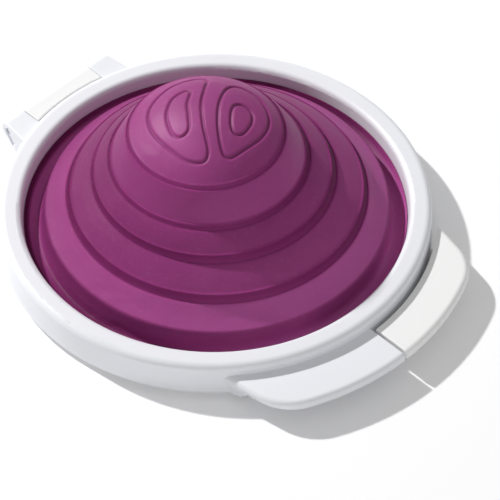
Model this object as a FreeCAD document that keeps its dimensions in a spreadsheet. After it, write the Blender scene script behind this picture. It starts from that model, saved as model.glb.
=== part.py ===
import FreeCAD, Part
import math
import os
import Sketcher

# An onion keeper: a round base tray, a hinged ring-shaped lid and a stretchy
# silicone dome held in the ring. The cut onion lies on the tray under the dome.
# +Z is up, the origin is on the dome's axis at the height of the table.
# The two opening tabs are on the -Y side and the hinge is on the +Y side.

# Driving dimensions in millimetres, and the motif's turn in degrees.
SIZES = {
    # The lid's ring, an upside-down channel that is open below.
    "ring_radius": 62.5,
    "ring_width": 7.1,
    "ring_top": 12.4,
    "skirt_wall": 2.2,
    "lip_wall": 1.8,
    "web_wall": 2.2,
    "lip_depth": 6.0,
    "ring_edge": 2.0,
    "lip_edge": 1.7,
    "lip_draft": 0.8,
    "skirt_draft": 0.3,
    # Clearances between the lid and the base.
    "lift_gap": 0.4,
    "seal_gap": 0.3,
    "knuckle_gap": 0.15,
    "knuckle_room": 0.3,
    "swing_gap": 0.2,
    "post_gap": 1.3,
    # The base tray.
    "flange_wall": 1.5,
    "flange_setback": 1.5,
    "floor_wall": 1.8,
    "floor_setback": 5.0,
    "rim_wall": 1.8,
    "rim_inset": 1.8,
    # The opening tabs, one on the base and one on the lid.
    "tab_reach": 13.9,
    "tab_top": 8.6,
    "tab_wall": 3.0,
    "tab_plate": 2.0,
    "tab_rim": 1.8,
    "tab_corner_place": 38.8,
    "tab_root_place": 42.6,
    "tab_round": 15.0,
    "tab_edge": 1.6,
    "tab_slit": 0.9,
    "slit_edge": 0.3,
    "post_wall": 1.8,
    "gusset_reach": 2.2,
    "gusset_width": 5.0,
    # The hinge.
    "pin_reach": 4.43,
    "pin_height": 8.1,
    "pin_radius": 1.0,
    "pin_clearance": 0.05,
    "pin_recess": 1.5,
    "barrel_radius": 2.95,
    "lug_near": 13.0,
    "lug_far": 20.2,
    "lug_flare": 1.5,
    "lug_slope": 32.0,
    "lug_edge": 0.4,
    "slot_width": 2.2,
    "slot_length": 4.6,
    "slot_slope": 52.0,
    "knuckle_wall": 1.6,
    "knuckle_edge": 0.3,
    "core_roof": 3.4,
    # The silicone dome. Heights are above the top of its flange.
    "silicone_wall": 1.6,
    "flange_depth": 2.0,
    "relief_width": 0.9,
    "relief_depth": 0.8,
    "bead_height": 2.5,
    "channel_width": 3.0,
    "wall_lean": 2.5,
    "wall_height": 5.6,
    "valley_width": 6.6,
    "dome_height": 44.9,
    "band_one": 6.9,
    "band_two": 5.6,
    "band_three": 7.8,
    "ring_one_height": 36.3,
    "ring_two_height": 27.0,
    "ring_three_height": 20.3,
    "ring_four_height": 12.8,
    "step_one": 1.3,
    "step_two": 1.4,
    "step_three": 2.1,
    "step_four": 2.2,
    "ledge_one": 1.2,
    "ledge_two": 1.4,
    "ledge_three": 1.5,
    "ledge_four": 1.8,
    "band_bulge": 0.2,
    "foot_round": 1.0,
    # The onion's hearts, grooved into the crown.
    "heart_margin": 4.7,
    "heart_turn": 46.0,
    "groove_depth": 0.6,
}

# How much of a step's width is its level rim, the rest being the slope down from it.
RIM_SHARE = 0.3
# How far cutting tools reach past what they cut.
OVERCUT = 2.0

# How wide a heart groove is, as a share of the heart's length.
GROOVE_SHARE = 0.036

# Outlines of the four heart grooves as closed curves through a few points.
# The points are in halves of the heart's length, first across, then along.
HEARTS = [
    [(-0.13, 0.89), (-0.34, 1.00), (-0.80, 0.78), (-1.13, 0.24), (-1.03, -0.36),
     (-0.58, -0.88), (-0.24, -1.00), (-0.11, -0.84), (-0.19, -0.36), (-0.22, 0.12), (-0.16, 0.58)],
    [(-0.41, 0.48), (-0.53, 0.53), (-0.73, 0.35), (-0.82, -0.02), (-0.74, -0.40),
     (-0.59, -0.54), (-0.44, -0.42), (-0.44, -0.12), (-0.46, 0.18)],
    [(0.25, 0.65), (0.48, 0.72), (0.78, 0.50), (0.94, 0.04), (0.80, -0.41),
     (0.42, -0.80), (0.21, -0.91), (0.11, -0.75), (0.06, -0.30), (0.10, 0.21)],
    [(0.34, 0.12), (0.47, 0.18), (0.63, 0.06), (0.64, -0.18), (0.50, -0.44),
     (0.36, -0.49), (0.29, -0.35), (0.29, -0.08)],
]


class Size:
    """A length as its present value and as the expression that ties it to the sheet."""

    def __init__(self, value, text):
        self.value = value
        self.text = text

    def join(self, other, sign, value):
        return Size(value, "(" + self.text + " " + sign + " " + other.text + ")")

    def __add__(self, other):
        other = as_size(other)
        return self.join(other, "+", self.value + other.value)

    def __sub__(self, other):
        other = as_size(other)
        return self.join(other, "-", self.value - other.value)

    def __mul__(self, other):
        other = as_size(other)
        return self.join(other, "*", self.value * other.value)

    def __truediv__(self, other):
        other = as_size(other)
        return self.join(other, "/", self.value / other.value)

    def __neg__(self):
        return Size(-self.value, "(0 - " + self.text + ")")


def as_size(number):
    if isinstance(number, Size):
        return number
    return Size(number, str(number))


def root(size):
    return Size(math.sqrt(size.value), "sqrt(" + size.text + ")")


def sine(angle):
    return Size(math.sin(math.radians(angle.value)), "sin(" + angle.text + " * 1 deg)")


def cosine(angle):
    return Size(math.cos(math.radians(angle.value)), "cos(" + angle.text + " * 1 deg)")


def along(radius, across):
    """How far along a circle round the axis lies at a given distance across."""
    return root(radius * radius - across * across)


def arc_radius(start, end, bulge):
    """Radius of the arc that stands out by the bulge from the chord."""
    across = end[0] - start[0]
    rise = end[1] - start[1]
    return (across * across + rise * rise) / (bulge * 8) + bulge / 2


def make_sheet(doc):
    sheet = doc.addObject("Spreadsheet::Sheet", "Sizes")
    for row, (name, value) in enumerate(SIZES.items(), start=1):
        sheet.set("A" + str(row), name)
        sheet.set("B" + str(row), str(value))
        sheet.setAlias("B" + str(row), name)
    doc.recompute()
    size = {name: Size(float(sheet.get(name)), "Sizes." + name) for name in SIZES}
    size["opening_radius"] = size["ring_radius"] - size["ring_width"]
    size["foot_radius"] = size["opening_radius"] - size["channel_width"]
    ring_four_end = size["foot_radius"] - size["wall_lean"] - size["valley_width"]
    bands = size["band_one"] + size["band_two"] + size["band_three"]
    size["crown_radius"] = ring_four_end - size["ledge_four"] - bands
    size["heart_length"] = (size["crown_radius"] - size["heart_margin"]) * 2
    size["groove_width"] = size["heart_length"] * GROOVE_SHARE
    size["skirt_foot"] = size["ring_radius"] + size["skirt_draft"]
    size["pin_place"] = size["ring_radius"] + size["pin_reach"]
    return size


def bind(obj, prop, size):
    obj.setExpression(prop, size.text)


def new_body(doc, name):
    body = doc.addObject("PartDesign::Body", name)
    body.Label = name
    return body


def origin_feature(body, role):
    return next(item for item in body.Origin.OriginFeatures if item.Role == role)


def arc_through(start, end, radius, turn):
    """Arc from start to end as a counter-clockwise arc, and whether it runs that way."""
    chord = end - start
    middle = (start + end) / 2
    half = chord.Length / 2
    drop = math.sqrt(max(radius * radius - half * half, 0.0))
    side = FreeCAD.Vector(-chord.y, chord.x, 0).normalize()
    centre = middle + side * (drop * turn)
    circle = Part.Circle(centre, FreeCAD.Vector(0, 0, 1), radius)
    angles = [math.atan2(p.y - centre.y, p.x - centre.x) for p in (start, end)]
    first, last = angles if turn > 0 else (angles[1], angles[0])
    if last <= first:
        last += 2 * math.pi
    return Part.ArcOfCircle(circle, first, last)


def tie_point(sketch, geo, pos, across, up):
    """Hold one vertex at the given place by named dimensions from the sketch's origin."""
    for size, kind, axis in ((across, "DistanceX", -2), (up, "DistanceY", -1)):
        if size.text == "0":
            sketch.addConstraint(Sketcher.Constraint("PointOnObject", geo, pos, axis))
            continue
        index = sketch.addConstraint(Sketcher.Constraint(kind, -1, 1, geo, pos, size.value))
        sketch.setExpression("Constraints[" + str(index) + "]", size.text)


def draw_outline(body, name, role, points, lift=None):
    """Closed sketch through points (across, up, bend).

    The bend is None for a straight edge to the next point, or a pair of a radius and a turn:
    1 for an arc that turns left on its way, -1 for one that turns right.
    """
    sketch = body.newObject("Sketcher::SketchObject", name)
    sketch.AttachmentSupport = [(origin_feature(body, role), "")]
    sketch.MapMode = "FlatFace"
    if lift is not None:
        bind(sketch, "AttachmentOffset.Base.z", lift)
    places = [(as_size(across), as_size(up)) for across, up, bend in points]
    corners = [FreeCAD.Vector(across.value, up.value, 0) for across, up in places]
    starts = []
    ends = []
    for number, (across, up, bend) in enumerate(points):
        following = (number + 1) % len(points)
        start, end = corners[number], corners[following]
        if bend is None:
            geo = sketch.addGeometry(Part.LineSegment(start, end), False)
            starts.append((geo, 1))
            ends.append((geo, 2))
            continue
        radius, turn = bend
        geo = sketch.addGeometry(arc_through(start, end, radius.value, turn), False)
        starts.append((geo, 1 if turn > 0 else 2))
        ends.append((geo, 2 if turn > 0 else 1))
        index = sketch.addConstraint(Sketcher.Constraint("Radius", geo, radius.value))
        sketch.setExpression("Constraints[" + str(index) + "]", radius.text)
    for number, (across, up) in enumerate(places):
        geo, pos = starts[number]
        other, other_pos = ends[number - 1]
        sketch.addConstraint(Sketcher.Constraint("Coincident", geo, pos, other, other_pos))
        tie_point(sketch, geo, pos, across, up)
    return sketch


def revolve(body, name, sketch):
    feature = body.newObject("PartDesign::Revolution", name)
    feature.Profile = sketch
    feature.ReferenceAxis = (sketch, ["V_Axis"])
    feature.Angle = 360
    return feature


def pad(body, name, sketch, length, symmetric=False):
    feature = body.newObject("PartDesign::Pad", name)
    feature.Profile = sketch
    bind(feature, "Length", length)
    if symmetric:
        feature.SideType = "Symmetric"
    return feature


def cut_away(doc, body, name, sketch, length, symmetric=False):
    """Pocket along the sketch's normal that is checked to take material off."""
    doc.recompute()
    before = body.Shape.Volume
    feature = body.newObject("PartDesign::Pocket", name)
    feature.Profile = sketch
    bind(feature, "Length", length)
    if symmetric:
        feature.SideType = "Symmetric"
    else:
        feature.Reversed = True
    doc.recompute()
    if body.Shape.Volume > before - 0.01:
        raise RuntimeError(name + " cuts nothing")
    return feature


def round_edges(doc, body, name, size, chosen):
    """Fillet on the edges of the body that pass the test."""
    doc.recompute()
    edges = ["Edge" + str(n) for n, edge in enumerate(body.Shape.Edges, start=1) if chosen(edge)]
    if not edges:
        raise RuntimeError(name + " finds no edge")
    base = body.Tip
    feature = body.newObject("PartDesign::Fillet", name)
    feature.Base = (base, edges)
    bind(feature, "Radius", size)
    doc.recompute()
    return feature


def edge_middle(edge):
    return edge.valueAt((edge.FirstParameter + edge.LastParameter) / 2)


def flat_at(edge, height):
    """Whether an edge lies level at the given height."""
    box = edge.BoundBox
    return abs(box.ZMin - height) < 0.01 and abs(box.ZMax - height) < 0.01


def circle_at(edge, radius, height):
    """Whether an edge is a full circle round the axis at the given height."""
    box = edge.BoundBox
    return flat_at(edge, height) and abs(box.XMax - radius) < 0.01 and abs(box.XMin + radius) < 0.01


def on_tab_rim(edge, size, height):
    """Whether an edge lies on the outer, corner or flank side of a tab's top or bottom."""
    middle = edge_middle(edge)
    post_outside = size["skirt_foot"] + size["post_gap"] + size["post_wall"]
    beyond = math.hypot(middle.x, middle.y) > post_outside.value + 0.01
    return flat_at(edge, height) and beyond and abs(middle.x) > size["tab_slit"].value and middle.y < 0


def on_slit_edge(edge, size, height):
    """Whether an edge is the upper one of a tab's side beside the slit."""
    box = edge.BoundBox
    beside = abs(abs(edge_middle(edge).x) - size["tab_slit"].value / 2) < 0.01
    return flat_at(edge, height) and beside and box.XLength < 0.01 and box.YMax < 0


def on_lug_rim(edge, size, height):
    """Whether an edge is a side edge of a lug's top."""
    middle = edge_middle(edge)
    beyond = middle.y > size["ring_radius"].value - size["lug_flare"].value
    sideways = abs(middle.x) > size["lug_near"].value - 0.01
    return flat_at(edge, height) and beyond and sideways and edge.BoundBox.YLength > size["lug_edge"].value


def on_tab_corner(edge, size):
    """Whether an edge is the upright one between a tab's outer side and its flank."""
    box = edge.BoundBox
    upright = box.ZLength > size["tab_wall"].value / 2 and box.XLength < 0.01 and box.YLength < 0.01
    middle = edge_middle(edge)
    reach = size["ring_radius"].value + size["tab_reach"].value
    there = abs(math.hypot(middle.x, middle.y) - reach) < 0.01
    return upright and there and abs(middle.x) > size["tab_slit"].value


def tab_outline(size, inner_radius, side):
    """Plan of a tab: the slit's edge, the outer arc, the flank and the inner arc."""
    outer_radius = size["ring_radius"] + size["tab_reach"]
    slit = size["tab_slit"] / 2
    corner = size["tab_corner_place"]
    flank = size["tab_root_place"]
    return [
        (slit * side, -along(inner_radius, slit), None),
        (slit * side, -along(outer_radius, slit), (outer_radius, side)),
        (corner * side, -along(outer_radius, corner), None),
        (flank * side, -along(inner_radius, flank), (inner_radius, -side)),
    ]


def make_base_tray(doc, size):
    """Tray with its sealing rim, the base's own tab on an upright post and the hinge knuckle."""
    body = new_body(doc, "base_tray")
    flange_radius = size["ring_radius"] - size["flange_setback"]
    floor_radius = size["ring_radius"] - size["floor_setback"]
    rim_outside = size["opening_radius"] - size["rim_inset"]
    rim_inside = rim_outside - size["rim_wall"]
    rim_top = size["ring_top"] - size["lip_depth"] - size["flange_depth"] - size["seal_gap"]
    tray = draw_outline(body, "TrayProfile", "XZ_Plane", [
        (0, 0, None),
        (flange_radius, 0, None),
        (flange_radius, size["flange_wall"], None),
        (floor_radius, size["flange_wall"], None),
        (floor_radius, size["floor_wall"], None),
        (rim_outside, size["floor_wall"], None),
        (rim_outside, rim_top, None),
        (rim_inside, rim_top, None),
        (rim_inside, size["floor_wall"], None),
        (0, size["floor_wall"], None),
    ])
    revolve(body, "Tray", tray)

    post_inside = size["skirt_foot"] + size["post_gap"]
    post_outside = post_inside + size["post_wall"]
    slit = size["tab_slit"] / 2
    post_end = size["tab_corner_place"]
    strip_inside = flange_radius - 1
    strip = draw_outline(body, "StripPlan", "XY_Plane", post_plan(strip_inside, post_outside, slit, post_end))
    pad(body, "Strip", strip, size["flange_wall"])
    post = draw_outline(body, "PostPlan", "XY_Plane", post_plan(post_inside, post_outside, slit, post_end))
    pad(body, "Post", post, size["tab_top"])
    underside = size["tab_top"] - size["tab_wall"]
    plan = draw_outline(body, "TabPlan", "XY_Plane", tab_outline(size, post_inside, 1), underside)
    pad(body, "Tab", plan, size["tab_wall"])
    finish_tab(doc, body, size)

    core_tab(doc, body, size, post_outside, 1)
    make_knuckle(doc, body, size, strip_inside)
    return body


def post_plan(inside, outside, near, far):
    """Plan of a curved strip between two radii, from near the slit to the tab's corner."""
    return [
        (near, -along(inside, near), None),
        (near, -along(outside, near), (outside, 1)),
        (far, -along(outside, far), None),
        (far, -along(inside, far), (inside, -1)),
    ]


def finish_tab(doc, body, size):
    """Round a tab's plan corner, then its top and bottom edges."""
    top = size["tab_top"].value
    bottom = top - size["tab_wall"].value
    round_edges(doc, body, "TabCorner", size["tab_round"], lambda edge: on_tab_corner(edge, size))
    round_edges(doc, body, "TabTopEdge", size["tab_edge"], lambda edge: on_tab_rim(edge, size, top))
    low_edge = (size["tab_wall"] - size["tab_edge"]) / 2
    round_edges(doc, body, "TabLowEdge", low_edge, lambda edge: on_tab_rim(edge, size, bottom))
    round_edges(doc, body, "SlitEdge", size["slit_edge"], lambda edge: on_slit_edge(edge, size, top))


def core_tab(doc, body, size, inside, side):
    """Hollow a tab from below, so that a rim is left on all sides but the slit's."""
    outside = size["ring_radius"] + size["tab_reach"] - size["tab_rim"]
    corner = size["tab_corner_place"] - size["tab_rim"] * 2
    flank = size["tab_root_place"] - size["tab_rim"] * 2
    plan = draw_outline(body, "TabCorePlan", "XY_Plane", [
        (0, -inside, None),
        (0, -outside, (outside, side)),
        (corner * side, -along(outside, corner), None),
        (flank * side, -along(inside, flank), (inside, -side)),
    ], size["tab_top"] - size["tab_wall"])
    cut_away(doc, body, "TabCore", plan, size["tab_wall"] - size["tab_plate"])


def make_knuckle(doc, body, size, strip_inside):
    """The base's part of the hinge: a post between the lid's lugs that is curved like the ring beside it."""
    near = size["skirt_foot"] + size["knuckle_room"]
    far = size["pin_place"] + size["barrel_radius"]
    top = size["pin_height"] + size["barrel_radius"]
    half = size["lug_near"] - size["knuckle_gap"]
    plate = draw_outline(body, "PlatePlan", "XY_Plane", hinge_plan(strip_inside - 2, half, far))
    pad(body, "Plate", plate, size["flange_wall"])
    plan = draw_outline(body, "KnucklePlan", "XY_Plane", hinge_plan(near, half, far))
    pad(body, "Knuckle", plan, top)
    round_edges(doc, body, "KnuckleRound", size["barrel_radius"],
                lambda edge: flat_at(edge, top.value) and abs(edge_middle(edge).y - far.value) < 0.01)
    round_edges(doc, body, "KnuckleEdge", size["knuckle_edge"],
                lambda edge: flat_at(edge, top.value) and edge.BoundBox.YLength > size["knuckle_edge"].value)
    wall = size["knuckle_wall"]
    core = draw_outline(body, "CorePlan", "XY_Plane", [
        (-half + wall, near + wall, None),
        (half - wall, near + wall, None),
        (half - wall, far - wall, None),
        (-half + wall, far - wall, None),
    ])
    cut_away(doc, body, "Core", core, size["pin_height"] - size["core_roof"])
    cut_pin_bore(doc, body, size)


def hinge_plan(inside, half, far):
    """Plan between an arc round the axis and a straight outer edge."""
    return [
        (half, far, None),
        (-half, far, None),
        (-half, along(inside, half), (inside, -1)),
        (half, along(inside, half), None),
    ]


def cut_pin_bore(doc, body, size):
    """Bore for the hinge pin along X through everything in its way."""
    bore_radius = size["pin_radius"] + size["pin_clearance"]
    sketch = body.newObject("Sketcher::SketchObject", "BoreCircle")
    sketch.AttachmentSupport = [(origin_feature(body, "YZ_Plane"), "")]
    sketch.MapMode = "FlatFace"
    centre = FreeCAD.Vector(size["pin_place"].value, size["pin_height"].value, 0)
    circle = Part.Circle(centre, FreeCAD.Vector(0, 0, 1), bore_radius.value)
    geo = sketch.addGeometry(circle, False)
    tie_point(sketch, geo, 3, size["pin_place"], size["pin_height"])
    index = sketch.addConstraint(Sketcher.Constraint("Radius", geo, bore_radius.value))
    sketch.setExpression("Constraints[" + str(index) + "]", bore_radius.text)
    reach = (size["lug_far"] + size["lug_flare"] + OVERCUT) * 2
    cut_away(doc, body, "PinBore", sketch, reach, symmetric=True)


def make_lid_frame(doc, size):
    """Ring of channel section with the lid's own tab and the two hinge lugs."""
    body = new_body(doc, "lid_frame")
    outside = size["ring_radius"]
    skirt_inside = outside - size["skirt_wall"]
    inside = size["opening_radius"]
    lip_outside = inside + size["lip_wall"]
    lip_top = inside + size["lip_draft"]
    top = size["ring_top"]
    roof = top - size["web_wall"]
    lip_bottom = top - size["lip_depth"]
    skirt_bottom = size["flange_wall"] + size["lift_gap"]
    section = draw_outline(body, "RingProfile", "XZ_Plane", [
        (inside, lip_bottom, None),
        (lip_outside, lip_bottom, None),
        (lip_outside, roof, None),
        (skirt_inside, roof, None),
        (skirt_inside, skirt_bottom, None),
        (size["skirt_foot"], skirt_bottom, None),
        (outside, top, None),
        (lip_top, top, None),
    ])
    revolve(body, "Ring", section)
    round_edges(doc, body, "RingOuterEdge", size["ring_edge"],
                lambda edge: circle_at(edge, outside.value, top.value))
    round_edges(doc, body, "RingInnerEdge", size["lip_edge"],
                lambda edge: circle_at(edge, lip_top.value, top.value))

    root_radius = outside - size["skirt_wall"] / 2
    underside = size["tab_top"] - size["tab_wall"]
    plan = draw_outline(body, "TabPlan", "XY_Plane", tab_outline(size, root_radius, -1), underside)
    pad(body, "Tab", plan, size["tab_wall"])
    finish_tab(doc, body, size)
    core_tab(doc, body, size, outside + size["tab_rim"], -1)
    gusset = draw_outline(body, "GussetPlan", "XY_Plane", gusset_plan(size, root_radius), skirt_bottom)
    pad(body, "Gusset", gusset, size["tab_top"] - size["tab_plate"] - skirt_bottom)

    cut_scoop(doc, body, size)
    make_lugs(doc, body, size, root_radius, skirt_bottom)
    return body


def gusset_plan(size, root_radius):
    """Plan of the web under the tab's flank, from the skirt out to a short reach."""
    reach = size["ring_radius"] + size["gusset_reach"]
    flank = size["tab_root_place"] - size["gusset_reach"] / 2
    near = flank - size["gusset_width"]
    return [
        (-near, -along(root_radius, near), None),
        (-near, -along(size["ring_radius"], near), None),
        (-(near + size["gusset_reach"]), -along(reach, near + size["gusset_reach"]), (reach, -1)),
        (-(flank - size["gusset_reach"] / 2), -along(reach, flank - size["gusset_reach"] / 2), None),
        (-flank, -along(size["ring_radius"], flank), None),
        (-flank, -along(root_radius, flank), None),
    ]


def cut_scoop(doc, body, size):
    """Hollow in the skirt, turned about the pin, that the knuckle's inner edge swings through."""
    near = size["skirt_foot"] + size["knuckle_room"]
    half = size["lug_near"]
    rise = size["barrel_radius"]
    middle_reach = size["pin_place"] - near
    side_reach = size["pin_place"] - along(near, half)
    middle = root(middle_reach * middle_reach + rise * rise) + size["swing_gap"]
    side = root(side_reach * side_reach + rise * rise) + size["swing_gap"]
    sag = side - middle
    bend = (half * half + sag * sag) / (sag * 2)
    axis = size["pin_place"]
    sketch = draw_outline(body, "ScoopProfile", "XY_Plane", [
        (-half, axis, None),
        (-half, axis - side, (bend, -1)),
        (half, axis - side, None),
        (half, axis, None),
    ], size["pin_height"])
    doc.recompute()
    before = body.Shape.Volume
    scoop = body.newObject("PartDesign::Groove", "Scoop")
    scoop.Profile = sketch
    scoop.ReferenceAxis = (sketch, ["Edge4"])
    scoop.Angle = 360
    doc.recompute()
    if body.Shape.Volume > before - 0.01:
        raise RuntimeError("Scoop cuts nothing")


def make_lugs(doc, body, size, root_radius, skirt_bottom):
    """Two arms with round ends that carry the pin on either side of the knuckle."""
    pin_place = size["pin_place"]
    barrel = size["barrel_radius"]
    far = pin_place + barrel
    top = size["pin_height"] + barrel
    near_side = size["lug_near"]
    far_side = size["lug_far"]
    root_side = size["lug_far"] + size["lug_flare"]
    plan = draw_outline(body, "LugPlan", "XY_Plane", [
        (near_side, along(root_radius, near_side), None),
        (root_side, along(root_radius, root_side), None),
        (far_side, far, None),
        (near_side, far, None),
    ], skirt_bottom)
    lug = pad(body, "Lug", plan, top - skirt_bottom)
    outer = far + OVERCUT
    slope = size["lug_slope"]
    turn_place = pin_place + barrel * sine(slope)
    turn_height = size["pin_height"] - barrel * cosine(slope)
    drop = (turn_place - size["ring_radius"]) * sine(slope) / cosine(slope)
    trim = draw_outline(body, "LugTrim", "YZ_Plane", [
        (size["ring_radius"], skirt_bottom - OVERCUT, None),
        (outer, skirt_bottom - OVERCUT, None),
        (outer, top + OVERCUT, None),
        (pin_place, top + OVERCUT, None),
        (pin_place, top, (barrel, -1)),
        (far, size["pin_height"], (barrel, -1)),
        (turn_place, turn_height, None),
        (size["ring_radius"], turn_height - drop, None),
    ])
    shaped = cut_away(doc, body, "LugShape", trim, root_side + OVERCUT)
    slot_plan = draw_outline(body, "SlotOutline", "YZ_Plane", slot_outline(size), far_side)
    slot = cut_away(doc, body, "Slot", slot_plan, size["lug_flare"] + OVERCUT)
    mirror = body.newObject("PartDesign::Mirrored", "OtherLug")
    mirror.Originals = [lug, shaped, slot]
    mirror.MirrorPlane = (origin_feature(body, "YZ_Plane"), [""])
    body.Tip = mirror
    round_edges(doc, body, "LugEdge", size["lug_edge"], lambda edge: on_lug_rim(edge, size, top.value))
    cut_pin_bore(doc, body, size)


def slot_outline(size):
    """Shallow slot in a lug's outer side, slanting from above the pin down towards the ring."""
    half = size["slot_width"] / 2
    run = cosine(size["slot_slope"])
    fall = sine(size["slot_slope"])
    head = (size["pin_place"] + run * half, size["pin_height"] + fall * half)
    foot = (size["pin_place"] - run * size["slot_length"], size["pin_height"] - fall * size["slot_length"])
    return [
        (head[0] + fall * half, head[1] - run * half, None),
        (head[0] - fall * half, head[1] + run * half, None),
        (foot[0] - fall * half, foot[1] + run * half, None),
        (foot[0] + fall * half, foot[1] - run * half, None),
    ]


def make_hinge_pin(doc, size):
    """Plain round pin along X, short of the lugs' outer faces at both ends."""
    pin = doc.addObject("Part::Cylinder", "hinge_pin")
    pin.Label = "hinge_pin"
    half = size["lug_far"] - size["pin_recess"]
    bind(pin, "Radius", size["pin_radius"])
    bind(pin, "Height", half * 2)
    pin.Placement = FreeCAD.Placement(FreeCAD.Vector(0, 0, 0), FreeCAD.Rotation(FreeCAD.Vector(0, 1, 0), 90))
    bind(pin, "Placement.Base.x", -half)
    bind(pin, "Placement.Base.y", size["pin_place"])
    bind(pin, "Placement.Base.z", size["pin_height"])
    return pin


def dome_points(size):
    """Outer outline of the dome from its apex down to the foot of its wall, and the inner one back up."""
    base = size["ring_top"] - size["lip_depth"]
    wall = size["silicone_wall"]
    bulge = size["band_bulge"]
    lips = [size["crown_radius"]]
    for band in ("band_one", "band_two", "band_three"):
        lips.append(lips[-1] + size[band])
    numbers = ("one", "two", "three", "four")
    apex = (Size(0, "0"), base + size["dome_height"])
    outer = [apex]
    inner = [(Size(0, "0"), apex[1] - wall)]
    for lip, number in zip(lips, numbers):
        edge = base + size["ring_" + number + "_height"]
        low = edge - size["step_" + number]
        ledge = size["ledge_" + number]
        outer.append((lip, edge))
        outer.append((lip + ledge * RIM_SHARE, edge))
        outer.append((lip + ledge, low))
        inner.append((lip + ledge - wall, low - wall * 0.6))
    foot = size["foot_radius"]
    outer.append((foot - size["wall_lean"], base + size["wall_height"]))
    outer.append((foot, base))
    inner.append((foot - size["wall_lean"] - wall, base + size["wall_height"] - wall * 0.5))
    inner.append((foot - wall, base - size["flange_depth"]))
    return outer, inner, bulge


def crown_arc(size):
    """Radius of the crown's outer arc, which is level at the apex and ends at the first ring."""
    drop = size["dome_height"] - size["ring_one_height"]
    return (size["crown_radius"] * size["crown_radius"] + drop * drop) / (drop * 2)


def make_silicone_dome(doc, size):
    """Stepped dome with a flange under the ring's lip, a bead in the ring's channel and carved hearts."""
    outer, inner, bulge = dome_points(size)
    base = size["ring_top"] - size["lip_depth"]
    bead_inside = size["opening_radius"] + size["lip_wall"]
    bead_outside = size["ring_radius"] - size["skirt_wall"]
    bead_top = base + size["bead_height"]
    flange_bottom = base - size["flange_depth"]
    drop = inner[0][1] - inner[1][1]
    inner_crown = (inner[1][0] * inner[1][0] + drop * drop) / (drop * 2)

    body = doc.addObject("PartDesign::Body", "DomeBody")
    points = []
    for number, (across, up) in enumerate(outer[:-1]):
        following = outer[number + 1]
        if number == 0:
            bend = (crown_arc(size), -1)
        elif number % 3 == 0:
            bend = (arc_radius((across, up), following, bulge), -1)
        else:
            bend = None
        points.append((across, up, bend))
    relief = base - size["relief_depth"]
    relief_start = size["opening_radius"] - size["relief_width"]
    points.append((*outer[-1], None))
    points.append((relief_start, base, None))
    points.append((relief_start, relief, None))
    points.append((bead_inside, relief, None))
    points.append((bead_inside, bead_top, None))
    points.append((bead_outside, bead_top, None))
    points.append((bead_outside, flange_bottom, None))
    for across, up in reversed(inner[2:]):
        points.append((across, up, None))
    points.append((*inner[1], (inner_crown, 1)))
    points.append((*inner[0], None))
    profile = draw_outline(body, "DomeProfile", "XZ_Plane", points)
    revolve(body, "DomeSolid", profile)
    foot_radius = outer[-1][0].value
    round_edges(doc, body, "FootRound", size["foot_round"],
                lambda edge: circle_at(edge, foot_radius, base.value))
    return carve_hearts(doc, size, body, base)


def carve_hearts(doc, size, body, base):
    """Cut the heart outlines into the crown to one depth, measured square to its surface."""
    bands = doc.addObject("Part::Feature", "HeartBands")
    bands.Shape = heart_bands(size, base)
    core = doc.addObject("Part::Sphere", "HeartFloor")
    arc = crown_arc(size)
    bind(core, "Radius", arc - size["groove_depth"])
    bind(core, "Placement.Base.z", base + size["dome_height"] - arc)
    tool = doc.addObject("Part::Cut", "HeartTool")
    tool.Base = bands
    tool.Tool = core
    dome = doc.addObject("Part::Cut", "silicone_dome")
    dome.Base = body
    dome.Tool = tool
    dome.Label = "silicone_dome"
    return dome


def heart_bands(size, base):
    """Upright walls one groove wide that stand on the heart outlines."""
    half = size["heart_length"].value / 2
    turn = math.radians(size["heart_turn"].value)
    low = (base + size["ring_one_height"]).value
    height = (size["dome_height"] - size["ring_one_height"]).value + OVERCUT
    solids = []
    for heart in HEARTS:
        places = []
        for across, up in heart:
            x = half * (across * math.sin(turn) + up * math.cos(turn))
            y = half * (up * math.sin(turn) - across * math.cos(turn))
            places.append(FreeCAD.Vector(x, y, low))
        curve = Part.BSplineCurve()
        curve.interpolate(places, PeriodicFlag=True)
        solids.append(groove_wall(curve, size["groove_width"].value / 2, height))
    return Part.Compound(solids)


def groove_wall(curve, offset, height):
    """Solid between two copies of a closed curve that lie an offset to either side of it."""
    count = 24
    first, last = curve.FirstParameter, curve.LastParameter
    steps = [first + (last - first) * n / count for n in range(count)]
    faces = []
    for side in (offset, -offset):
        moved = []
        for step in steps:
            tangent = curve.tangent(step)[0]
            moved.append(curve.value(step) + FreeCAD.Vector(tangent.y, -tangent.x, 0) * side)
        edge = Part.BSplineCurve()
        edge.interpolate(moved, PeriodicFlag=True)
        faces.append(Part.Face(Part.Wire([edge.toShape()])))
    large, small = sorted(faces, key=lambda face: face.Area, reverse=True)
    return large.cut(small).extrude(FreeCAD.Vector(0, 0, height))


def check_and_write(doc, nodes):
    doc.recompute()
    for obj in doc.Objects:
        if "Invalid" in obj.State or "Error" in obj.State:
            raise RuntimeError(obj.Name + " failed: " + str(obj.State))
    os.makedirs("parts", exist_ok=True)
    for node in nodes:
        shape = node.Shape
        if shape.isNull() or not shape.isValid():
            raise RuntimeError(node.Label + " has no valid shape")
        shape.exportStep("parts/" + node.Label + ".step")
        box = shape.BoundBox
        print(node.Label, len(shape.Solids), "solid", round(shape.Volume), "mm3",
              "x", round(box.XMin, 2), round(box.XMax, 2), "y", round(box.YMin, 2), round(box.YMax, 2),
              "z", round(box.ZMin, 2), round(box.ZMax, 2))


def main():
    doc = FreeCAD.newDocument("OnionKeeper")
    size = make_sheet(doc)
    nodes = [
        make_base_tray(doc, size),
        make_lid_frame(doc, size),
        make_silicone_dome(doc, size),
        make_hinge_pin(doc, size),
    ]
    check_and_write(doc, nodes)


main()
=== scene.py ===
import bpy
import math
import numpy as np
from mathutils import Matrix, Vector


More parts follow.
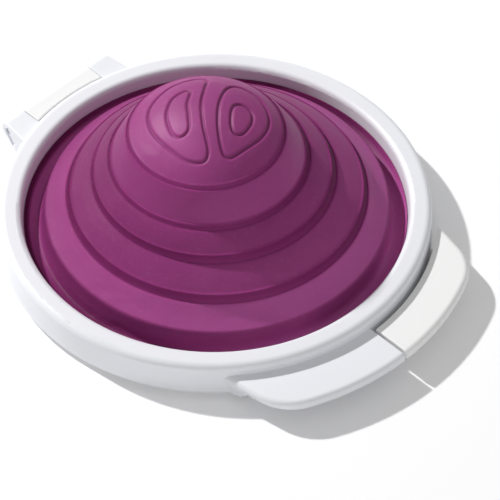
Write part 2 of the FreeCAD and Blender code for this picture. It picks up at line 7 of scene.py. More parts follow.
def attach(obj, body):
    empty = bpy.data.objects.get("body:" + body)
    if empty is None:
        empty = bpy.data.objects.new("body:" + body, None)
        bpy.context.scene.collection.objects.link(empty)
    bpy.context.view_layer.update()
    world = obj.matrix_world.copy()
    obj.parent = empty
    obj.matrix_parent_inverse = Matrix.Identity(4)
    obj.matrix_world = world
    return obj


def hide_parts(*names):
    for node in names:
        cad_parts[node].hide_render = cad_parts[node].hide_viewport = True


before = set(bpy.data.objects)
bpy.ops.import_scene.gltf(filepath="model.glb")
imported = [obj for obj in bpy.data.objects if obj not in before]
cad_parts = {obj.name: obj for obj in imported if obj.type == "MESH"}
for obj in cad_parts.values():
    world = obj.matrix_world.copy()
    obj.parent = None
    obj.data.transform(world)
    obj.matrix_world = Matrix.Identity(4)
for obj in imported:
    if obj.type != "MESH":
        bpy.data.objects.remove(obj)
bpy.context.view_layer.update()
print("stage: frame loaded,", len(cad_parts), "nodes")

mm = 0.001


# Mesh helpers

# Quads between neighbouring points of a grid whose rows are closed rings, one below the other.
def ringFaces(rows, columns):
    r, c = np.meshgrid(np.arange(rows - 1) * columns, np.arange(columns), indexing="ij")
    following = (c + 1) % columns
    below = r + columns
    return np.stack([below + c, below + following, r + following, r + c], -1).reshape(-1, 4).tolist()


# Puts an array of points and a list of faces into a new mesh object at the origin.
def meshObject(name, points, faces, smooth=True):
    mesh = bpy.data.meshes.new(name)
    mesh.from_pydata(points.tolist(), [], faces)
    mesh.validate()
    mesh.shade_smooth() if smooth else mesh.shade_flat()
    obj = bpy.data.objects.new(name, mesh)
    bpy.context.scene.collection.objects.link(obj)
    return obj


# A polyline walked in even steps, each column then averaged with a bell-shaped window along the walk, which
# turns its corners into small bends. The window reaches three times its softness each way, and the two ends
# stay where they are. The first two columns are places, and the others are carried along.
def softenedPath(corners, step, softness):
    corners = np.array(corners, float)
    columns = corners.shape[1]
    lengths = np.r_[0, np.cumsum(np.hypot(*np.diff(corners[:, :2], axis=0).T))]
    walk = np.linspace(0, lengths[-1], int(lengths[-1] / step) + 2)
    path = np.stack([np.interp(walk, lengths, corners[:, k]) for k in range(columns)], -1)
    reach = max(1, int(round(3 * softness / step)))
    window = np.exp(-0.5 * (np.arange(-reach, reach + 1) * step / softness) ** 2)
    window /= window.sum()
    first, last = path[0], path[-1]
    before = 2 * first - path[reach:0:-1]
    after = 2 * last - path[-2:-reach - 2:-1]
    padded = np.concatenate([before, path, after])
    return np.stack([np.convolve(padded[:, k], window, "valid") for k in range(columns)], -1)


# Picks count points of a dense path, closer together where it bends. The weight of each bit of the path is
# its length plus extra times the angle that it turns by, in radians.
def thinnedPath(path, count, extra):
    segment = np.diff(path, axis=0)
    length = np.hypot(segment[:, 0], segment[:, 1])
    heading = np.unwrap(np.arctan2(segment[:, 1], segment[:, 0]))
    turn = np.abs(np.diff(heading, append=heading[-1]))
    weight = np.r_[0, np.cumsum(length + extra * turn)]
    picks = np.interp(np.linspace(0, weight[-1], count), weight, np.arange(len(path)))
    return np.stack([np.interp(picks, np.arange(len(path)), path[:, k]) for k in range(path.shape[1])], -1)


# Closed smooth curve through the knots, with count points from each knot to the next. Between two knots it is
# the cubic whose slope at each knot is half the way from the knot before to the knot after.
def closedCurve(knots, count):
    knots = np.array(knots, float)
    slope = (np.roll(knots, -1, 0) - np.roll(knots, 1, 0)) / 2
    t = np.linspace(0, 1, count, endpoint=False)[:, None, None]
    start, end, m0, m1 = knots, np.roll(knots, -1, 0), slope, np.roll(slope, -1, 0)
    curve = ((2 * t ** 3 - 3 * t ** 2 + 1) * start + (t ** 3 - 2 * t ** 2 + t) * m0
             + (3 * t ** 2 - 2 * t ** 3) * end + (t ** 3 - t ** 2) * m1)
    return curve.transpose(1, 0, 2).reshape(-1, 2)


# Shortest distance in plan from each point to a closed chain of straight bits: to the nearest place on each
# bit, and then the least of them.
def distanceTo(curve, x, y):
    start, end = curve, np.roll(curve, -1, 0)
    along = end - start
    best = np.full(x.shape, 1e9)
    for (sx, sy), (ax, ay) in zip(start, along):
        t = np.clip(((x - sx) * ax + (y - sy) * ay) / (ax * ax + ay * ay), 0, 1)
        best = np.minimum(best, np.hypot(x - sx - t * ax, y - sy - t * ay))
    return best


# The silicone dome

# Lengths are in mm, and angles in degrees from +X towards +Y. Tones are painted light and shade, given as
# shares of the base colour, and glosses are shares of the apex's gloss. The runs give distances from the axis
# and heights.
domeLook = {
    "crownTop": 51.3,
    "crownMargin": 1.0,        # between the last row that can carry a groove and the crown's lip
    "lipRadius": [21.4, 27.5, 33.7, 41.7],     # one value for each step, from the crown down
    "lipHeight": [42.8, 33.1, 27.4, 19.9],
    "stepDrop": [1.3, 1.5, 2.6, 2.6],
    "ledgeWidth": [1.2, 1.4, 1.5, 1.8],
    "rimShare": 0.28,          # share of a step's width that is level rim, and where its slope ends
    "footShare": 0.85,
    "browRun": 0.06,           # from the rim's edge to where the slope has its own tone
    "browDrop": 0.08,
    "shoulder": [0.10, 0.08, 0.03, 0.0],       # how far the next band starts above the ledge
    "shoulderRun": 0.2,                        # and how far beyond its end
    "bandBulge": [0.20, 0.20, 0.22, -0.25],
    "wallRun": [(49.75, 12.25), (49.95, 11.85), (50.05, 11.3), (50.4, 8.5), (50.65, 6.8), (51.2, 5.9)],
    "floorRun": [(52.2, 5.8), (53.1, 6.0), (53.9, 6.45)],      # of the trough at the wall's foot
    "rimRun": [(54.6, 7.0), (55.35, 8.2)],                     # of the flange, up to the ring's lip
    "reliefRun": [(55.46, 8.2), (55.3, 6.2), (55.3, 5.65)],    # and down again inside the lip
    "ringInside": 57.2,        # inner side of the channel that takes the bead
    "ringOutside": 60.3,
    "beadTop": 8.9,
    "flangeBottom": 4.4,
    "wallThickness": 1.6,
    "innerFootDrop": 1.2,      # how far the inside's foot lies below the top of the outer wall
    "innerStepShare": 0.6,     # how far the inside lies below a ledge, as a share of the wall's thickness
    "cornerSoftness": 0.14,
    "innerSoftness": 0.4,
    "leanHeights": [8.4, 12.0, 19.9, 27.4, 33.1, 42.8, 45.5, 51.3],
    "leanAcross": [0.0, -0.45, -0.45, 0.75, 1.9, 2.5, 2.0, 2.0],       # at those heights
    "leanDirection": (-0.722, 0.692),
    "heartHalfLength": 16.5,
    "heartTurn": 46.0,
    "grooveHalfWidth": 0.8,
    "grooveDepth": 0.6,
    # painted shade in the hearts' grooves
    "groovePaintedShade": 0.78,
    # Painted light and shade, part by part: darker steps, relief and wall top, a lighter trough floor and
    # wall foot, and lighter or darker bands.
    "crownPaintedLight": 0.95,
    "bandPaintedLight": [0.89, 0.75, 0.81, 1.15],
    "browPaintedShade": [0.43, 0.33, 0.32, 0.33],      # painted shade of a step's slope at its upper and at its lower end
    "footPaintedShade": [0.53, 0.47, 0.44, 0.45],
    "wallPaintedLight": [0.66, 0.64, 0.70, 0.92, 1.20, 1.40],
    "floorPaintedLight": 1.6,
    "rimPaintedLight": 0.88,
    "reliefPaintedShade": 0.5,
    "crownPaintedSideLight": (-0.08, 0.05),                # painted light and shade that changes further towards +X and +Y
    "bandPaintedSideLight": (0.0, -0.12),
    "stepPaintedSideLight": (-0.51, -0.37),
    "floorPaintedSideLight": (-0.11, 0.10),
    "rimPaintedSideLight": (0.54, -0.24),
    "paintedSideRadius": 20.0,        # distance from the axis beyond which these changes are full
    "tabSidePaintedLight": 0.22,       # painted light: how much lighter the silicone is made towards the tabs, and darker away from them, at the rim
    "tabDirection": (0.154, -0.988),
    "crownPaintedHighlight": -0.27,       # share of the tone that painted shade takes, or here a painted highlight adds, in the direction below
    "crownPaintedHighlightPeak": 12.0,    # distance from the axis where the crown's painted highlight is strongest
    # painted shade on the trough's floor and rim and at the wall's foot, strongest in the directions below
    "floorShade": 0.67,
    "wallShadeShare": [0.0, 0.0, 0.0, 0.0, 0.5, 1.0],          # share of it at each point of the wall
    "shadeTowards": 182.0,
    "floorShadeTowards": 6.0,                  # the floor gets painted shade in this direction too
    "shadePower": 4,           # a higher power keeps the painted shades closer to their direction
    "bandGloss": 0.42,
    "stepGloss": 0.12,
    "around": 430,             # points around, and rows of the crown, of the rest and of the inside
    "crownRows": 84,
    "stepRows": 120,
    "innerRows": 26,
}

# Heart outlines of a halved onion, in halves of their length: across, then along.
heartOutlines = [
    [(-0.13, 0.89), (-0.34, 1.00), (-0.80, 0.78), (-1.13, 0.24), (-1.03, -0.36),
     (-0.58, -0.88), (-0.24, -1.00), (-0.11, -0.84), (-0.19, -0.36), (-0.22, 0.12), (-0.16, 0.58)],
    [(-0.41, 0.48), (-0.53, 0.53), (-0.73, 0.35), (-0.82, -0.02), (-0.74, -0.40),
     (-0.59, -0.54), (-0.44, -0.42), (-0.44, -0.12), (-0.46, 0.18)],
    [(0.25, 0.65), (0.48, 0.72), (0.78, 0.50), (0.94, 0.04), (0.80, -0.41),
     (0.42, -0.80), (0.21, -0.91), (0.11, -0.75), (0.06, -0.30), (0.10, 0.21)],
    [(0.34, 0.12), (0.47, 0.18), (0.63, 0.06), (0.64, -0.18), (0.50, -0.44),
     (0.36, -0.49), (0.29, -0.35), (0.29, -0.08)],
]


# Points from start to end that stand out from the straight line by a parabola of the given height.
def bulgedRun(start, end, bulge, count=14):
    start, end = np.array(start, float), np.array(end, float)
    t = np.linspace(0, 1, count)[:, None]
    along = end - start
    outward = np.array([-along[1], along[0]]) / np.hypot(*along)
    return (start + t * along + 4 * t * (1 - t) * bulge * outward).tolist()


# Radius of the ball that a round cap is cut from, by the cap's half width and height: the sum of their
# squares over twice the height.
def ballRadius(halfWidth, height):
    return (halfWidth ** 2 + height ** 2) / (2 * height)


# Distances from the axis and heights of points on a round cap.
def capRun(first, last, top, ball, count):
    r = np.linspace(first, last, count)
    return r, top - ball + np.sqrt(ball ** 2 - r ** 2)


# Outline of the dome's outside, from the apex to the bead and down to the flange's underside. Each band ends
# in a narrow level rim, and a slope and a short ledge lead down to the next band. A point has seven numbers:
# distance from the axis, height, tone of painted light and shade, how that tone grows towards +X and towards
# +Y, the share of it that the painted shades take away or the crown's painted highlight adds, and the gloss.
def domeOutside(look):
    matt, dull, top = look["bandGloss"], look["stepGloss"], look["crownTop"]
    lips = list(zip(look["lipRadius"], look["lipHeight"]))
    edge, base = lips[0]
    r, z = capRun(0, edge, top, ballRadius(edge, top - base), count=40)
    crownPaintedHighlight = np.interp(r, [0, look["crownPaintedHighlightPeak"], edge], [0, look["crownPaintedHighlight"], 0])
    crownGloss = 1 - (1 - matt) * (r / edge) ** 2
    paintedLights = [(look["crownPaintedLight"], *look["crownPaintedSideLight"])]
    paintedLights += [(paintedLight, *look["bandPaintedSideLight"]) for paintedLight in look["bandPaintedLight"]]
    points = [(*place, *paintedLights[0], shade, gloss) for *place, shade, gloss in zip(r, z, crownPaintedHighlight, crownGloss)]
    bandEnds = [*lips[1:], look["wallRun"][0]]
    stepLook = (*look["stepPaintedSideLight"], 0.0, dull)
    for n, (lipR, lipZ) in enumerate(lips):
        width, low = look["ledgeWidth"][n], lipZ - look["stepDrop"][n]
        rimR = lipR + width * look["rimShare"]
        rimLook = (*paintedLights[n], 0.0, dull if n else matt)
        if n:
            points.append((lipR, lipZ, *rimLook))
        points.append((rimR, lipZ, *rimLook))
        points.append((rimR + look["browRun"], lipZ - look["browDrop"], look["browPaintedShade"][n], *stepLook))
        points.append((lipR + width * look["footShare"], low, look["footPaintedShade"][n], *stepLook))
        points.append((lipR + width, low, look["footPaintedShade"][n], *stepLook))
        start = (lipR + width + look["shoulderRun"], low + look["shoulder"][n])
        run = bulgedRun(start, bandEnds[n], look["bandBulge"][n])[:-1]
        points.append((*run[0], *paintedLights[n + 1], 0.0, dull))
        points += [(*place, *paintedLights[n + 1], 0.0, matt) for place in run[1:]]
    shade = look["floorShade"]
    for place, paintedLight, share in zip(look["wallRun"], look["wallPaintedLight"], look["wallShadeShare"]):
        points.append((*place, paintedLight, 0.0, 0.0, share * shade, matt))
    points += [(*place, look["floorPaintedLight"], *look["floorPaintedSideLight"], shade, matt) for place in look["floorRun"]]
    points += [(*place, look["rimPaintedLight"], *look["rimPaintedSideLight"], shade, matt) for place in look["rimRun"]]
    inner, outer, beadTop = look["ringInside"], look["ringOutside"], look["beadTop"]
    bead = [(inner, look["reliefRun"][-1][1]), (inner, beadTop)]
    bead += [(outer, beadTop), (outer, look["flangeBottom"])]
    return points + [(*place, look["reliefPaintedShade"], 0.0, 0.0, 0.0, matt) for place in look["reliefRun"] + bead]


# Outline of the dome's inside, from the flange's underside up to the apex, with the same seven numbers.
def domeInside(look):
    wall, (wallR, wallZ) = look["wallThickness"], look["wallRun"][0]
    points = [(look["wallRun"][-1][0] - wall, look["flangeBottom"])]
    points.append((wallR - wall, wallZ - look["innerFootDrop"]))
    steps = list(zip(look["lipRadius"], look["lipHeight"], look["ledgeWidth"], look["stepDrop"]))
    for lipR, lipZ, width, drop in reversed(steps):
        points.append((lipR + width - wall, lipZ - drop - wall * look["innerStepShare"]))
    top, (edge, base) = look["crownTop"] - wall, points[-1]
    r, z = capRun(edge, 0, top, ballRadius(edge, top - base), count=12)
    points += zip(r[1:], z[1:])
    return [(*place, 1.0, 0.0, 0.0, 0.0, look["bandGloss"]) for place in points]


# Rows of the dome's mesh, between its two tips. Those of the crown come first and are evenly spaced, because
# they carry the grooves. The others stand closer together at bends.
def domeRows(look):
    outside = softenedPath(domeOutside(look), step=0.04, softness=look["cornerSoftness"])
    outside[:, 0] = np.maximum(outside[:, 0], 0)
    inside = softenedPath(domeInside(look), step=0.1, softness=look["innerSoftness"])
    onCrown = outside[:, 0] < look["lipRadius"][0] - look["crownMargin"]
    crownRows = thinnedPath(outside[onCrown], look["crownRows"], extra=0)
    stepRows = thinnedPath(outside[~onCrown], look["stepRows"], extra=1.4)
    innerRows = thinnedPath(inside, look["innerRows"], extra=0.5)
    return np.concatenate([crownRows[1:], stepRows, innerRows[:-1]])


# Depth of the grooves at points of the crown, as a share of their full depth. It falls along a cosine, from 1
# on a heart outline to 0 at the groove's half width.
def grooveShare(look, x, y):
    turn = math.radians(look["heartTurn"])
    carved = np.zeros(x.shape)
    for outline in heartOutlines:
        across, up = (closedCurve(outline, count=14) * look["heartHalfLength"]).T
        planX = across * math.sin(turn) + up * math.cos(turn)
        planY = up * math.sin(turn) - across * math.cos(turn)
        away = np.clip(distanceTo(np.stack([planX, planY], -1), x, y) / look["grooveHalfWidth"], 0, 1)
        carved = np.maximum(carved, 0.5 + 0.5 * np.cos(math.pi * away))
    return carved


# Painted light and shade at each point of the dome's mesh, before the grooves: a tone that grows to either
# side, two painted shades, of which the first is a painted highlight on the crown, and painted light towards
# the tabs with painted shade away from them. A painted shade takes most in its own direction and falls off
# with a power of the cosine of the angle from there.
def domePaintedLight(look, angle, radius, share, paintedSideX, paintedSideY, shade):
    cosine, sine = np.cos(angle), np.sin(angle)
    paintedLight = share * (1 + (paintedSideX * cosine + paintedSideY * sine) * np.minimum(radius / look["paintedSideRadius"], 1.0))
    for towards, lost in (("shadeTowards", shade), ("floorShadeTowards", np.maximum(shade, 0))):
        facing = np.maximum(np.cos(angle - math.radians(look[towards])), 0) ** look["shadePower"]
        paintedLight *= 1 - lost * facing
    tabX, tabY = look["tabDirection"]
    return paintedLight * (1 + look["tabSidePaintedLight"] * radius / look["ringInside"] * (tabX * cosine + tabY * sine))


# Surface of revolution of the wall's outline. The whole dome leans a little with its height, and on the
# outside the grooves are pushed into the crown along its own normal.
def makeDome(look):
    profile = domeRows(look)
    angle = np.linspace(0, 2 * math.pi, look["around"], endpoint=False)
    cosine, sine = np.cos(angle), np.sin(angle)
    rows, columns = len(profile), len(angle)
    radius, height, share, paintedSideX, paintedSideY, shade, gloss = profile.T[:, :, None]
    paintedLight = domePaintedLight(look, angle, radius, share, paintedSideX, paintedSideY, shade)
    leanX, leanY = look["leanDirection"]
    lean = np.interp(height, look["leanHeights"], look["leanAcross"])
    x, y = radius * cosine + leanX * lean, radius * sine + leanY * lean
    z = np.repeat(height, columns, 1)

    crown = slice(0, look["crownRows"] - 1)
    carved = grooveShare(look, x[crown], y[crown])
    depth = carved * look["grooveDepth"]
    slope = radius[crown] / ballRadius(look["lipRadius"][0], look["crownTop"] - look["lipHeight"][0])
    x[crown] -= depth * slope * cosine
    y[crown] -= depth * slope * sine
    z[crown] -= depth * np.sqrt(1 - slope ** 2)
    # painted shade in the grooves
    paintedLight[crown] *= 1 - carved * (1 - look["groovePaintedShade"])

    topLean = look["leanAcross"][-1]
    tip = np.array([[leanX * topLean, leanY * topLean, look["crownTop"]]])
    innerTip = tip - np.array([[0, 0, look["wallThickness"]]])
    points = np.concatenate([np.stack([x, y, z], -1).reshape(-1, 3), tip, innerTip]) * mm
    c = np.arange(columns)
    following = (c + 1) % columns
    tipIndex, lastRow = rows * columns, (rows - 1) * columns
    topFan = np.stack([c, following, np.full(columns, tipIndex)], -1)
    innerFan = np.stack([lastRow + following, lastRow + c, np.full(columns, tipIndex + 1)], -1)
    dome = meshObject("siliconeDome", points, ringFaces(rows, columns) + topFan.tolist() + innerFan.tolist())
    # Painted light and shade, and gloss, at every point, with the two tips' values last.
    shades = np.r_[paintedLight.ravel(), look["crownPaintedLight"], 1.0]
    shines = np.r_[np.repeat(gloss, columns, 1).ravel(), 1.0, look["bandGloss"]]
    for name, values in (("paintedLight", shades), ("gloss", shines)):
        layer = dome.data.attributes.new(name, "FLOAT", "POINT")
        layer.data.foreach_set("value", values.astype(np.float32))
    return dome


# Shader groups

# Makes a node group with these inputs and outputs, and returns it with its input node and its output node.
def newGroup(name, inputs, outputs):
    group = bpy.data.node_groups.new(name, "ShaderNodeTree")
    for label, kind, value in inputs:
        socket = group.interface.new_socket(label, in_out="INPUT", socket_type=kind)
        socket.default_value = value
    for label, kind in outputs:
        group.interface.new_socket(label, in_out="OUTPUT", socket_type=kind)
    return group, group.nodes.new("NodeGroupInput"), group.nodes.new("NodeGroupOutput")


# Adds a node, sets its options and input values and links its inputs. Inputs go by name or number. A mix of
# numbers takes its factor and its two values as inputs 0, 2 and 3, and a mix of colours as 0, 6 and 7.
def addNode(tree, kind, values=None, links=None, **settings):
    node = tree.nodes.new(kind)
    for key, value in settings.items():
        setattr(node, key, value)
    for key, value in (values or {}).items():
        node.inputs[key].default_value = value
    for key, source in (links or {}).items():
        tree.links.new(source, node.inputs[key])
    return node


# Fine moulded texture: two noises of different size. The height is their weighted sum, and the roughness
# is lifted and lowered by the coarser one.
def mouldedGrainGroup():
    group, inward, outward = newGroup(
        "mouldedGrain",
        [("Vector", "NodeSocketVector", (0, 0, 0)), ("Fine Scale", "NodeSocketFloat", 3000.0),
         ("Broad Scale", "NodeSocketFloat", 60.0), ("Broad Share", "NodeSocketFloat", 0.5),
         ("Roughness", "NodeSocketFloat", 0.4), ("Variation", "NodeSocketFloat", 0.06)],
        [("Height", "NodeSocketFloat"), ("Roughness", "NodeSocketFloat"), ("Cloud", "NodeSocketFloat")])
    fine = addNode(group, "ShaderNodeTexNoise", {"Detail": 2.0},
                   {"Vector": inward.outputs["Vector"], "Scale": inward.outputs["Fine Scale"]})
    broad = addNode(group, "ShaderNodeTexNoise", {"Detail": 3.0},
                    {"Vector": inward.outputs["Vector"], "Scale": inward.outputs["Broad Scale"]})
    height = addNode(group, "ShaderNodeMix", None,
                     {0: inward.outputs["Broad Share"], 2: fine.outputs["Fac"], 3: broad.outputs["Fac"]})
    centred = addNode(group, "ShaderNodeMath", {1: 0.5}, {0: broad.outputs["Fac"]}, operation="SUBTRACT")
    spread = addNode(group, "ShaderNodeMath", None,
                     {0: centred.outputs[0], 1: inward.outputs["Variation"], 2: inward.outputs["Roughness"]},
                     operation="MULTIPLY_ADD")
    group.links.new(height.outputs[0], outward.inputs["Height"])
    group.links.new(spread.outputs[0], outward.inputs["Roughness"])
    group.links.new(broad.outputs["Fac"], outward.inputs["Cloud"])
    return group


# Mask of fine dust: most on faces that look up, broken up by a noise with a hard ramp.
def settledDustGroup():
    group, inward, outward = newGroup(
        "settledDust",
        [("Vector", "NodeSocketVector", (0, 0, 0)), ("Scale", "NodeSocketFloat", 900.0),
         ("Amount", "NodeSocketFloat", 0.1)],
        [("Mask", "NodeSocketFloat")])
    geometry = addNode(group, "ShaderNodeNewGeometry")
    split = addNode(group, "ShaderNodeSeparateXYZ", None, {0: geometry.outputs["Normal"]})
    upward = addNode(group, "ShaderNodeMapRange", {"From Min": 0.3, "From Max": 1.0},
                     {"Value": split.outputs["Z"]})
    speck = addNode(group, "ShaderNodeTexNoise", {"Detail": 3.0},
                    {"Vector": inward.outputs["Vector"], "Scale": inward.outputs["Scale"]})
    ramp = addNode(group, "ShaderNodeMapRange", {"From Min": 0.58, "From Max": 0.72},
                   {"Value": speck.outputs["Fac"]})
    product = addNode(group, "ShaderNodeMath", None, {0: upward.outputs[0], 1: ramp.outputs[0]},
                      operation="MULTIPLY")
    scaled = addNode(group, "ShaderNodeMath", None, {0: product.outputs[0], 1: inward.outputs["Amount"]},
                     operation="MULTIPLY")
    group.links.new(scaled.outputs[0], outward.inputs["Mask"])
    return group


# Slow unevenness of a moulded skin: one noise that is stretched sideways, so that its swells lie level.
def slowSwellGroup():
    group, inward, outward = newGroup(
        "slowSwell",
        [("Vector", "NodeSocketVector", (0, 0, 0)), ("Scale", "NodeSocketFloat", 90.0),
         ("Stretch", "NodeSocketFloat", 2.0)],
        [("Height", "NodeSocketFloat")])
    upright = addNode(group, "ShaderNodeCombineXYZ", {0: 1.0, 1: 1.0}, {2: inward.outputs["Stretch"]})
    place = addNode(group, "ShaderNodeVectorMath", None,
                    {0: inward.outputs["Vector"], 1: upright.outputs[0]}, operation="MULTIPLY")
    swell = addNode(group, "ShaderNodeTexNoise", {"Detail": 1.5, "Roughness": 0.4, "Distortion": 0.6},
                    {"Vector": place.outputs[0], "Scale": inward.outputs["Scale"]})
    group.links.new(swell.outputs["Fac"], outward.inputs["Height"])
    return group


grainGroup = mouldedGrainGroup()
dustGroup = settledDustGroup()
swellGroup = slowSwellGroup()
dustColour = (0.75, 0.74, 0.72, 1)


# Satin moulded plastic or silicone: a cloudy base colour, dust on top, grain in roughness and normal, and a
# slow unevenness of the whole skin under the grain. A tone t, which carries painted light and shade,
# multiplies red, and the other channels change more, so that painted shade also deepens the colour: the
# colour is raised to 1 + d ln t / ln red and multiplied by t to the power 1 - d, where d is the tone's depth.
def mouldedMaterial(name, look):
    material = bpy.data.materials.new(name)
    material.use_nodes = True
    tree = material.node_tree
    tree.nodes.clear()
    place = addNode(tree, "ShaderNodeTexCoord").outputs["Object"]
    grainKeys = ("Fine Scale", "Broad Scale", "Broad Share", "Roughness", "Variation")
    grain = addNode(tree, "ShaderNodeGroup", {key: look[key] for key in grainKeys}, {"Vector": place},
                    node_tree=grainGroup)
    dust = addNode(tree, "ShaderNodeGroup", {"Amount": look["Dust"]}, {"Vector": place}, node_tree=dustGroup)
    cloud = addNode(tree, "ShaderNodeMapRange", {"From Min": 0.3, "From Max": 0.7},
                    {"Value": grain.outputs["Cloud"]})
    colour = addNode(tree, "ShaderNodeMix", {6: (*look["Deep Colour"], 1), 7: (*look["Colour"], 1)},
                     {0: cloud.outputs[0]}, data_type="RGBA")
    # The tone attribute paints light and shade into the base colour.
    if look.get("Tone"):
        paintedLight = addNode(tree, "ShaderNodeAttribute", attribute_name=look["Tone"], attribute_type="GEOMETRY")
        base = look["Colour"][0] ** (1 / look["Tone Depth"])
        deeper = addNode(tree, "ShaderNodeMath", {1: base}, {0: paintedLight.outputs["Fac"]}, operation="LOGARITHM")
        power = addNode(tree, "ShaderNodeMath", {1: 1.0}, {0: deeper.outputs[0]}, operation="ADD")
        deep = addNode(tree, "ShaderNodeGamma", None, {"Color": colour.outputs[2], "Gamma": power.outputs[0]})
        rest = addNode(tree, "ShaderNodeMath", {1: 1 - look["Tone Depth"]}, {0: paintedLight.outputs["Fac"]},
                       operation="POWER")
        colour = addNode(tree, "ShaderNodeMix", {0: 1.0}, {6: deep.outputs[0], 7: rest.outputs[0]},
                         data_type="RGBA", blend_type="MULTIPLY")
    dusty = addNode(tree, "ShaderNodeMix", {7: dustColour},
                    {0: dust.outputs["Mask"], 6: colour.outputs[2]}, data_type="RGBA")
    swell = addNode(tree, "ShaderNodeGroup", {"Scale": look["Swell Scale"], "Stretch": look["Swell Stretch"]},
                    {"Vector": place}, node_tree=swellGroup)
    uneven = addNode(tree, "ShaderNodeBump", {"Strength": 1.0, "Distance": look["Swell Height"]},
                     {"Height": swell.outputs["Height"]})
    bump = addNode(tree, "ShaderNodeBump", {"Strength": look["Bump"], "Distance": look["Bump Distance"]},
                   {"Height": grain.outputs["Height"], "Normal": uneven.outputs[0]})
    shader = addNode(tree, "ShaderNodeBsdfPrincipled", look["Shader"],
                     {"Base Color": dusty.outputs[2], "Roughness": grain.outputs["Roughness"],
                      "Normal": bump.outputs[0]})
    if look.get("Gloss"):
        gloss = addNode(tree, "ShaderNodeAttribute", attribute_name=look["Gloss"], attribute_type="GEOMETRY")
        level = addNode(tree, "ShaderNodeMath", {1: look["Shader"]["Specular IOR Level"]},
                        {0: gloss.outputs["Fac"]}, operation="MULTIPLY")
        tree.links.new(level.outputs[0], shader.inputs["Specular IOR Level"])
    addNode(tree, "ShaderNodeOutputMaterial", None, {"Surface": shader.outputs[0]})
    return material


siliconeLook = {
    "Colour": (0.330, 0.055, 0.217), "Deep Colour": (0.305, 0.048, 0.202), "Tone": "paintedLight", "Tone Depth": 0.4,
    "Gloss": "gloss",
    "Fine Scale": 2600.0, "Broad Scale": 70.0, "Broad Share": 0.35, "Roughness": 0.50, "Variation": 0.10,
    "Bump": 0.12, "Bump Distance": 0.0003, "Dust": 0.03,
    "Swell Scale": 95.0, "Swell Stretch": 2.2, "Swell Height": 0.0004,
    "Shader": {"IOR": 1.41, "Specular IOR Level": 0.42, "Subsurface Weight": 0.35,
               "Subsurface Radius": (1.0, 0.25, 0.5), "Subsurface Scale": 0.0016},
}
framePlasticLook = {
    "Colour": (0.86, 0.87, 0.91), "Deep Colour": (0.85, 0.86, 0.90),
    "Fine Scale": 2200.0, "Broad Scale": 40.0, "Broad Share": 0.3, "Roughness": 0.38, "Variation": 0.08,
    "Bump": 0.06, "Bump Distance": 0.0002, "Dust": 0.02,
    "Swell Scale": 60.0, "Swell Stretch": 1.0, "Swell Height": 0.00005,
    "Shader": {"IOR": 1.49, "Subsurface Weight": 0.08, "Subsurface Radius": (1.0, 1.0, 1.0),
               "Subsurface Scale": 0.002},
}
trayPlasticLook = {
    **framePlasticLook,
    "Colour": (0.935, 0.93, 0.925), "Deep Colour": (0.92, 0.915, 0.91), "Roughness": 0.40,
}
pinSteelLook = {
    "Colour": (0.62, 0.61, 0.60), "Deep Colour": (0.52, 0.51, 0.50),
    "Fine Scale": 4000.0, "Broad Scale": 300.0, "Broad Share": 0.4, "Roughness": 0.32, "Variation": 0.15,
    "Bump": 0.1, "Bump Distance": 0.0001, "Dust": 0.0,
    "Swell Scale": 60.0, "Swell Stretch": 1.0, "Swell Height": 0.0,
    "Shader": {"Metallic": 1.0},
}

siliconeSkin = mouldedMaterial("purpleSilicone", siliconeLook)
framePlastic = mouldedMaterial("coolWhitePlastic", framePlasticLook)
trayPlastic = mouldedMaterial("warmWhitePlastic", trayPlasticLook)
pinSteel = mouldedMaterial("drawnSteel", pinSteelLook)
print("stage: materials made")

dome = makeDome(domeLook)
dome.data.materials.append(siliconeSkin)
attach(dome, "lid")
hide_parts("silicone_dome")
print("stage: dome made,", len(dome.data.polygons), "faces")

for nodeName, material in (("lid_frame", framePlastic), ("base_tray", trayPlastic), ("hinge_pin", pinSteel)):
    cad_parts[nodeName].material_slots[0].material = material
print("stage: plastic and steel finished")


# Studio

studio = {
    "floorHalf": 3.0,          # metres, as are the distances and the sizes of the lamps
    "floorColour": (0.93, 0.93, 0.94),
    "floorGlow": 0.10,
    "skyLevel": 0.38,
    "keyDirection": (-0.117, 0.751, 0.650),
    "keyDistance": 1.8,
    "keySize": 0.08,
    "keyPower": 30.0,
    "fillDirection": (-0.45, -0.85, 0.22),
    "fillDistance": 1.6,
    "fillSize": 0.9,
    "fillPower": 3.6,
    "cameraPlace": (-0.5214, -0.5439, 0.8151),
    "cameraAim": (0.00209, -0.01197, 0.0),
    "cameraRoll": -0.20,
    "cameraLens": 274.7,       # mm, as is its sensor's width
    "cameraSensor": 36.0,
    "cameraReach": 20.0,
}


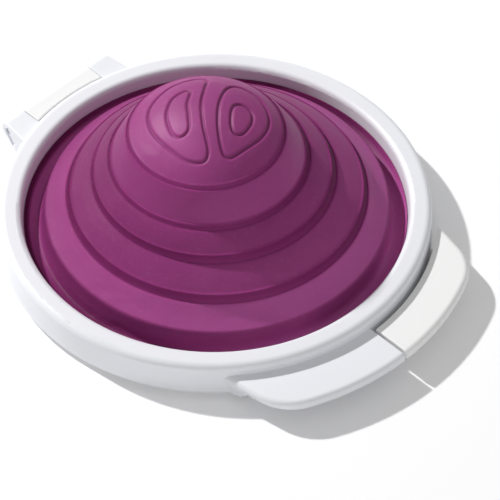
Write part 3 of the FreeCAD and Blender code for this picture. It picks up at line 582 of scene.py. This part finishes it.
# Flat sheet under the object. The camera sees it a little lighter than the light makes it.
def makeFloor(look):
    half = look["floorHalf"]
    points = np.array([(-half, -half, 0), (half, -half, 0), (half, half, 0), (-half, half, 0)], float)
    floor = meshObject("floor", points, [[0, 1, 2, 3]], smooth=False)
    material = bpy.data.materials.new("paleFloor")
    material.use_nodes = True
    tree = material.node_tree
    tree.nodes.clear()
    cameraRay = addNode(tree, "ShaderNodeLightPath").outputs["Is Camera Ray"]
    glow = addNode(tree, "ShaderNodeMath", {1: look["floorGlow"]}, {0: cameraRay}, operation="MULTIPLY")
    matte = addNode(tree, "ShaderNodeBsdfDiffuse", {"Color": (*look["floorColour"], 1)})
    light = addNode(tree, "ShaderNodeEmission", None, {"Strength": glow.outputs[0]})
    both = addNode(tree, "ShaderNodeAddShader", None, {0: matte.outputs[0], 1: light.outputs[0]})
    addNode(tree, "ShaderNodeOutputMaterial", None, {"Surface": both.outputs[0]})
    floor.data.materials.append(material)


# Even sky light, and plain white where the camera looks past the floor.
def makeWorld(look):
    world = bpy.data.worlds.new("studioSky")
    bpy.context.scene.world = world
    world.use_nodes = True
    tree = world.node_tree
    tree.nodes.clear()
    path = addNode(tree, "ShaderNodeLightPath")
    level = addNode(tree, "ShaderNodeMix", {2: look["skyLevel"], 3: 1.0}, {0: path.outputs["Is Camera Ray"]})
    sky = addNode(tree, "ShaderNodeBackground", {"Color": (1, 1, 1, 1)}, {"Strength": level.outputs[0]})
    addNode(tree, "ShaderNodeOutputWorld", None, {"Surface": sky.outputs[0]})


# Round lamp that looks at the origin from the direction and distance named by its role.
def makeLamp(role, look):
    lamp = bpy.data.lights.new(role + "Light", "AREA")
    lamp.shape = "DISK"
    lamp.size = look[role + "Size"]
    lamp.energy = look[role + "Power"]
    holder = bpy.data.objects.new(role + "Light", lamp)
    direction = Vector(look[role + "Direction"]).normalized()
    holder.location = direction * look[role + "Distance"]
    holder.rotation_euler = direction.to_track_quat("Z", "Y").to_euler()
    bpy.context.scene.collection.objects.link(holder)


# Camera that looks from its place at its aim, rolled a little about that line.
def makeCamera(look):
    lens = bpy.data.cameras.new("camera")
    lens.sensor_width = look["cameraSensor"]
    lens.lens = look["cameraLens"]
    lens.clip_end = look["cameraReach"]
    camera = bpy.data.objects.new("camera", lens)
    place, aim = Vector(look["cameraPlace"]), Vector(look["cameraAim"])
    roll = Matrix.Rotation(math.radians(look["cameraRoll"]), 3, "Z")
    turn = (aim - place).to_track_quat("-Z", "Y").to_matrix() @ roll
    camera.matrix_world = Matrix.Translation(place) @ turn.to_4x4()
    bpy.context.scene.collection.objects.link(camera)
    bpy.context.scene.camera = camera


makeFloor(studio)
makeWorld(studio)
makeLamp("key", studio)
makeLamp("fill", studio)
makeCamera(studio)
bpy.context.scene.view_settings.view_transform = "Standard"
print("stage: studio set")
